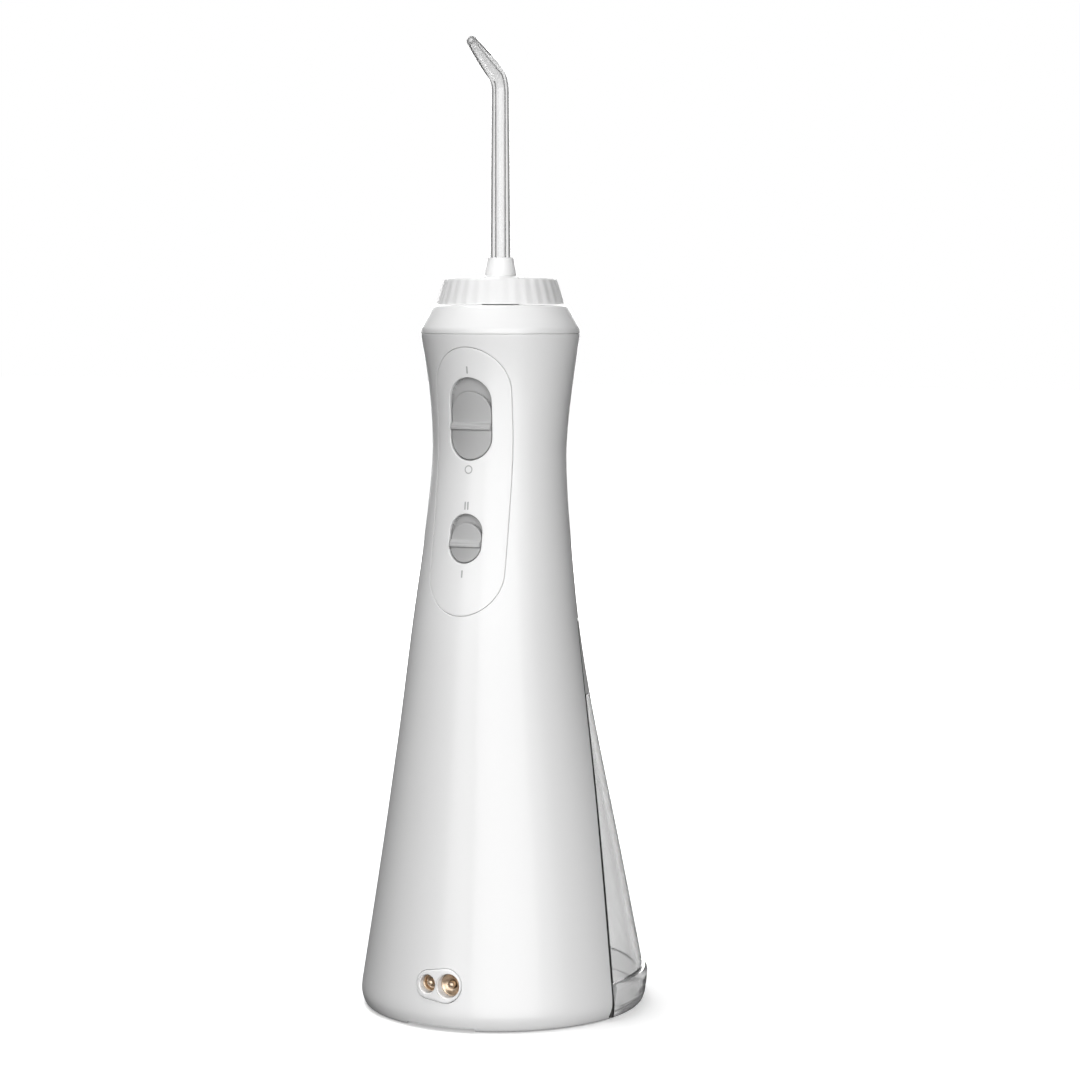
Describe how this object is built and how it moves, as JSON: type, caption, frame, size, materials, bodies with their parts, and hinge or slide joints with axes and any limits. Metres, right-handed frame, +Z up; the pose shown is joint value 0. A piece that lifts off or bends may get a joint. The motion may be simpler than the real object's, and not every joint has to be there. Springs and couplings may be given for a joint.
{
  "type": "water flosser",
  "caption": "Cordless water flosser: flared white handle with slide switches, fluted tip knob, bent clear jet tip and a lift-off clear reservoir.",
  "frame": {"origin": "on the table under the middle of the base's box", "axes": "+Z up along the handle; -Y the front, with the switches and charging contacts; +Y the reservoir side; +X to the right seen from the front"},
  "size_m": [0.0886, 0.0914, 0.294],
  "materials": {
    "white_plastic": "satin moulded ABS",
    "knob_plastic": "satin moulded",
    "switch_plastic": "fine satin",
    "clear_plastic": "polished clear plastic",
    "gold_contacts": "gold plated",
    "steel": "machined",
    "rubber": "matte moulded",
    "hose": "translucent silicone",
    "nylon": "natural nylon",
    "board": "solder mask",
    "cell_wrap": "shrink sleeve",
    "black_plastic": "moulded",
    "red_wire": "insulation"
  },
  "bodies": {
    "handle": {"main_casing": "white_plastic", "rear_cover": "white_plastic", "control_panel": "white_plastic", "top_collar": "white_plastic", "cover_screw_1": "steel", "cover_screw_2": "steel", "cover_screw_3": "steel", "cover_screw_4": "steel", "front_foot": "rubber", "contact_boss": "white_plastic", "contact_pin_left": "gold_contacts", "contact_pin_right": "gold_contacts", "power_switch_tray": "switch_plastic", "pressure_switch_tray": "switch_plastic", "spindle_bearing": "nylon", "battery_left": "cell_wrap", "battery_right": "cell_wrap", "battery_holder": "black_plastic", "motor": "steel", "motor_bracket": "black_plastic", "gear_frame": "black_plastic", "gear_axle": "steel", "pump_housing": "nylon", "outlet_valve": "rubber", "inlet_valve": "rubber", "outlet_hose": "hose", "inlet_hose": "hose", "port_seal": "rubber", "circuit_board": "board", "power_sensor": "black_plastic", "pressure_sensor": "black_plastic", "motor_lead_left": "red_wire", "motor_lead_right": "black_plastic", "charge_lead_left": "black_plastic", "charge_lead_right": "red_wire"},
    "power_switch": {"power_slider": "switch_plastic"},
    "pressure_switch": {"pressure_slider": "switch_plastic"},
    "knob": {"rotation_knob": "knob_plastic", "tip_socket": "white_plastic"},
    "tip": {"jet_tip": "clear_plastic", "tip_seal": "rubber"},
    "tip_release": {"eject_button": "white_plastic", "eject_spring": "steel"},
    "pinion": {"motor_pinion": "steel"},
    "gear": {"drive_gear": "nylon"},
    "rod": {"connecting_rod": "nylon"},
    "pump_piston": {"piston": "nylon", "piston_seal": "rubber"},
    "reservoir": {"tank_shell": "clear_plastic", "tank_base": "clear_plastic", "tank_cap": "white_plastic", "tank_foot_left": "rubber", "tank_foot_right": "rubber", "siphon_tube": "hose", "siphon_filter": "rubber", "door_hinge_pin": "steel"},
    "door": {"fill_door": "white_plastic", "door_seal": "rubber"}
  },
  "joints": [
    {"name": "power_slide", "type": "slide", "parent": "handle", "child": "power_switch", "axis": [0, 0, 1], "range_m": [0, 0.004]},
    {"name": "pressure_slide", "type": "slide", "parent": "handle", "child": "pressure_switch", "axis": [0, 0.1519, 0.9884], "range_m": [0, 0.0025]},
    {"name": "knob_turn", "type": "hinge", "parent": "handle", "child": "knob", "pos_m": [0, -0.0022, 0.214], "axis": [0, 0, 1], "continuous": true},
    {"name": "tip_lift", "type": "slide", "parent": "knob", "child": "tip", "axis": [0, 0, 1], "range_m": [0, 0.04]},
    {"name": "release_press", "type": "slide", "parent": "handle", "child": "tip_release", "axis": [0, -1, 0], "range_m": [0, 0.002], "stiffness_N_per_m": 400, "springref_m": -0.002, "deforming": ["eject_spring"]},
    {"name": "gear_spin", "type": "hinge", "parent": "handle", "child": "gear", "pos_m": [0, -0.0135, 0.108], "axis": [0, 1, 0], "continuous": true},
    {"name": "pinion_spin", "type": "hinge", "parent": "handle", "child": "pinion", "pos_m": [0, -0.02, 0.099], "axis": [0, 0, 1], "continuous": true},
    {"name": "rod_orbit", "type": "hinge", "parent": "gear", "child": "rod", "pos_m": [0, -0.0103, 0.1105], "axis": [0, 1, 0], "continuous": true},
    {"name": "piston_slide", "type": "slide", "parent": "handle", "child": "pump_piston", "axis": [0, 0, 1], "range_m": [-0.005, 0]},
    {"name": "reservoir_slide", "type": "slide", "parent": "handle", "child": "reservoir", "axis": [0, 1, 0], "range_m": [0, 0.05]},
    {"name": "door_swing", "type": "hinge", "parent": "reservoir", "child": "door", "pos_m": [0, 0.01899, 0.1152], "axis": [1, 0, 0], "range_deg": [0, 95]}
  ],
  "couplings": [
    {"joint": "pinion_spin", "follows": "gear_spin", "ratio": 2.25},
    {"joint": "rod_orbit", "follows": "gear_spin", "ratio": -1}
  ]
}
